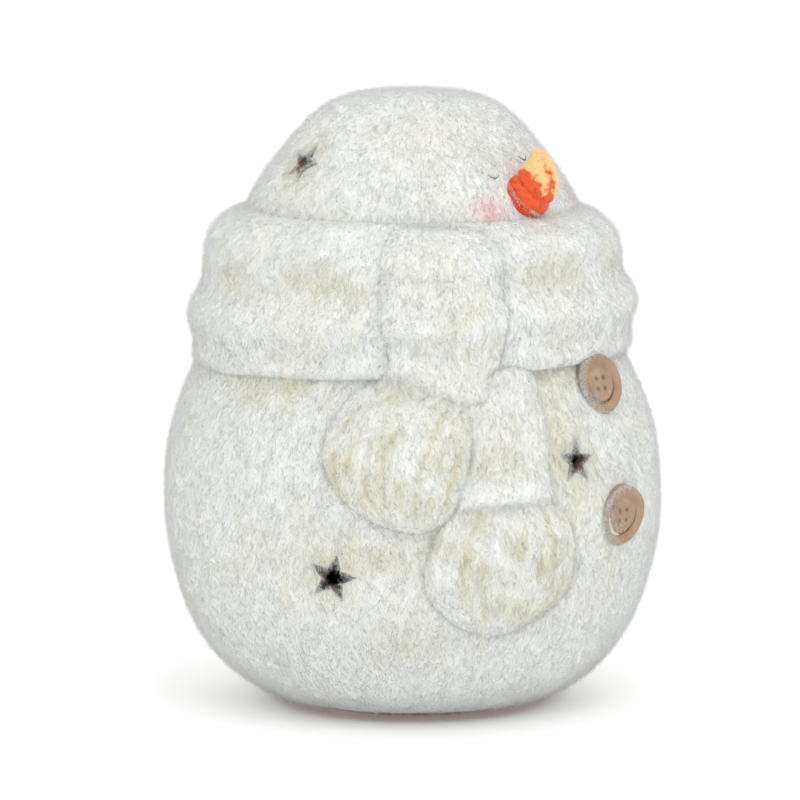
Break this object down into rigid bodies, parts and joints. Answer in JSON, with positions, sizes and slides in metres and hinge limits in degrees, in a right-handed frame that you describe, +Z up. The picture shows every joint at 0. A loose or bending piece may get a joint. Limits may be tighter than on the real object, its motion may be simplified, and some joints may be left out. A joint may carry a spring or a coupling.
{
  "type": "snowman lantern",
  "caption": "Round flocked clay snowman lantern with scarf, carrot nose, coat buttons, pierced stars and a plug-in battery light in the foot.",
  "frame": {"origin": "centre of the round foot on the surface it stands on", "axes": "+Z up, -Y is the front, where the coat buttons are, +X is the figure's left side"},
  "size_m": [0.1817, 0.1819, 0.2204],
  "materials": {
    "terracotta": "bare fired clay, matt and slightly dusty",
    "white_flock": "dense short white fibre coat with warm shade in the folds",
    "nose_paint": "hand-painted orange with straw yellow at the tip",
    "button_wash": "brown wash over moulded clay",
    "housing_plastic": "fine textured off-white moulding",
    "black_rubber": "matt black",
    "screw_steel": "zinc plated",
    "board_laminate": "green solder mask",
    "lamp_epoxy": "clear warm epoxy",
    "resistor_coat": "tan lacquer",
    "frosted_dome": "frosted milky plastic",
    "cell_jacket": "dark printed film without lettering",
    "contact_nickel": "nickel plated strip",
    "switch_black": "black slider",
    "switch_can": "tinned can"
  },
  "bodies": {
    "figure": {"clay_body": "terracotta", "scarf_wrap": "terracotta", "scarf_end_front": "terracotta", "scarf_end_back": "terracotta", "carrot_nose": "nose_paint", "button_upper": "button_wash", "button_lower": "button_wash", "head_flock": "white_flock", "body_flock": "white_flock", "scarf_wrap_flock": "white_flock", "scarf_front_flock": "white_flock", "scarf_back_flock": "white_flock"},
    "light_unit": {"light_housing": "housing_plastic", "grip_ring": "black_rubber", "housing_cover": "housing_plastic", "cover_screws": "screw_steel", "circuit_board": "board_laminate", "led_lamp": "lamp_epoxy", "resistor": "resistor_coat", "diffuser_dome": "frosted_dome", "battery_cell_left": "cell_jacket", "battery_cell_right": "cell_jacket", "contact_springs": "contact_nickel", "contact_positive": "contact_nickel", "contact_negative": "contact_nickel", "contact_bridge": "contact_nickel", "switch_body": "switch_can", "switch_terminals": "contact_nickel"},
    "battery_door": {"battery_door": "housing_plastic"},
    "door_screw": {"door_screw": "screw_steel"},
    "switch_slider": {"switch_slider": "switch_black"}
  },
  "joints": [
    {"name": "light_unit_pull", "type": "slide", "parent": "figure", "child": "light_unit", "axis": [0, 0, -1], "range_m": [0, 0.045]},
    {"name": "door_swing", "type": "hinge", "parent": "light_unit", "child": "battery_door", "pos_m": [-0.0115, 0, 0.0028], "axis": [0, 1, 0], "range_deg": [0, 75]},
    {"name": "door_screw_turn", "type": "hinge", "parent": "battery_door", "child": "door_screw", "pos_m": [0.017, 0, 0.0028], "axis": [0, 0, 1], "continuous": true},
    {"name": "switch_slide", "type": "slide", "parent": "light_unit", "child": "switch_slider", "axis": [0, 1, 0], "range_m": [0, 0.003]}
  ]
}
